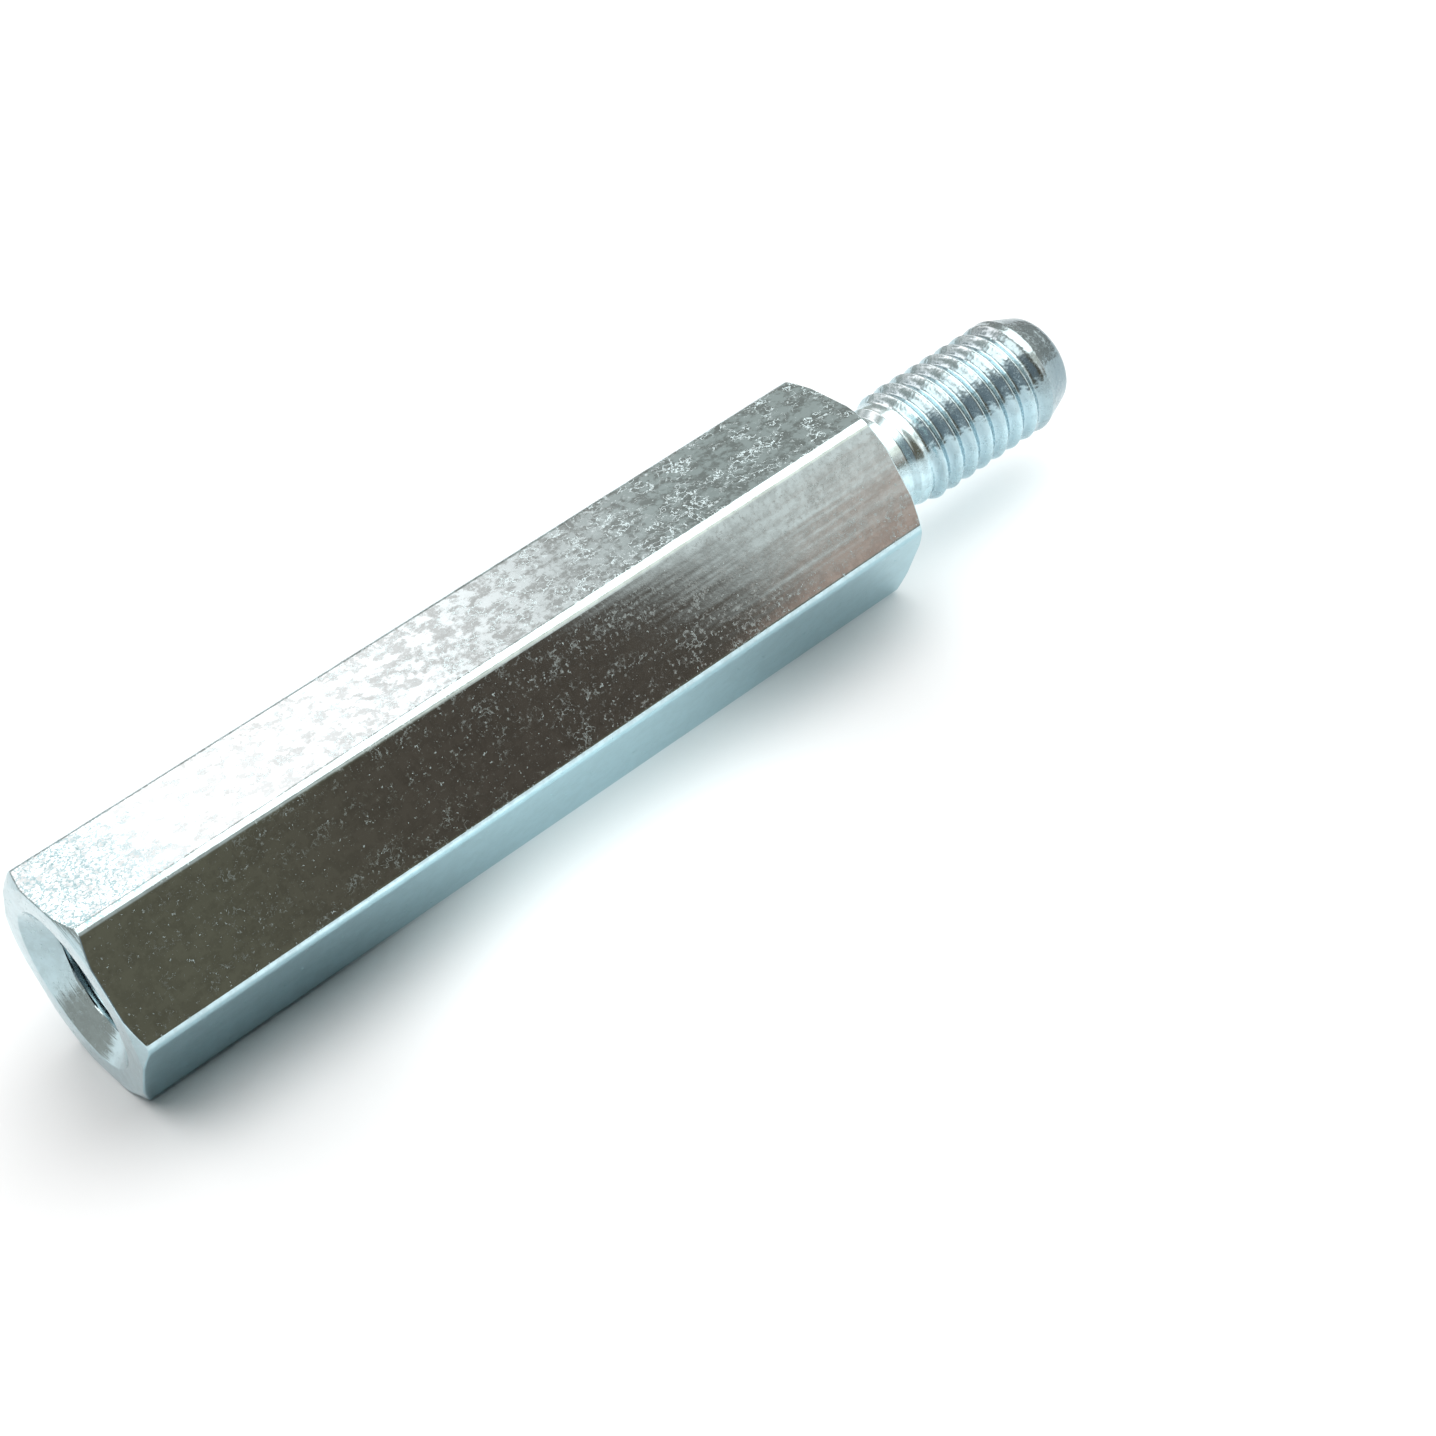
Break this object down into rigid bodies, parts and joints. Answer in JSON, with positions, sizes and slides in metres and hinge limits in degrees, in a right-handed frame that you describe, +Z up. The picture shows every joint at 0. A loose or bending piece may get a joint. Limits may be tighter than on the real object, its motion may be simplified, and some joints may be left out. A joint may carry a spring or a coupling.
{
  "type": "threaded spacer",
  "caption": "Hexagonal steel spacer with a tapped, countersunk hole in one end and a threaded stud with a plain neck on the other, to hold two panels apart.",
  "frame": {"origin": "middle of the overall length, on the hexagon flat that the spacer lies on", "axes": "+X along the spacer's axis from the tapped end to the stud, +Z up from the flat it lies on"},
  "size_m": [0.0452, 0.009, 0.008],
  "materials": {
    "zinc_plated_steel": "bright blue-white zinc plating over drawn flats and turned ends"
  },
  "bodies": {
    "root": {"hex_spacer": "zinc_plated_steel"}
  },
  "joints": []
}
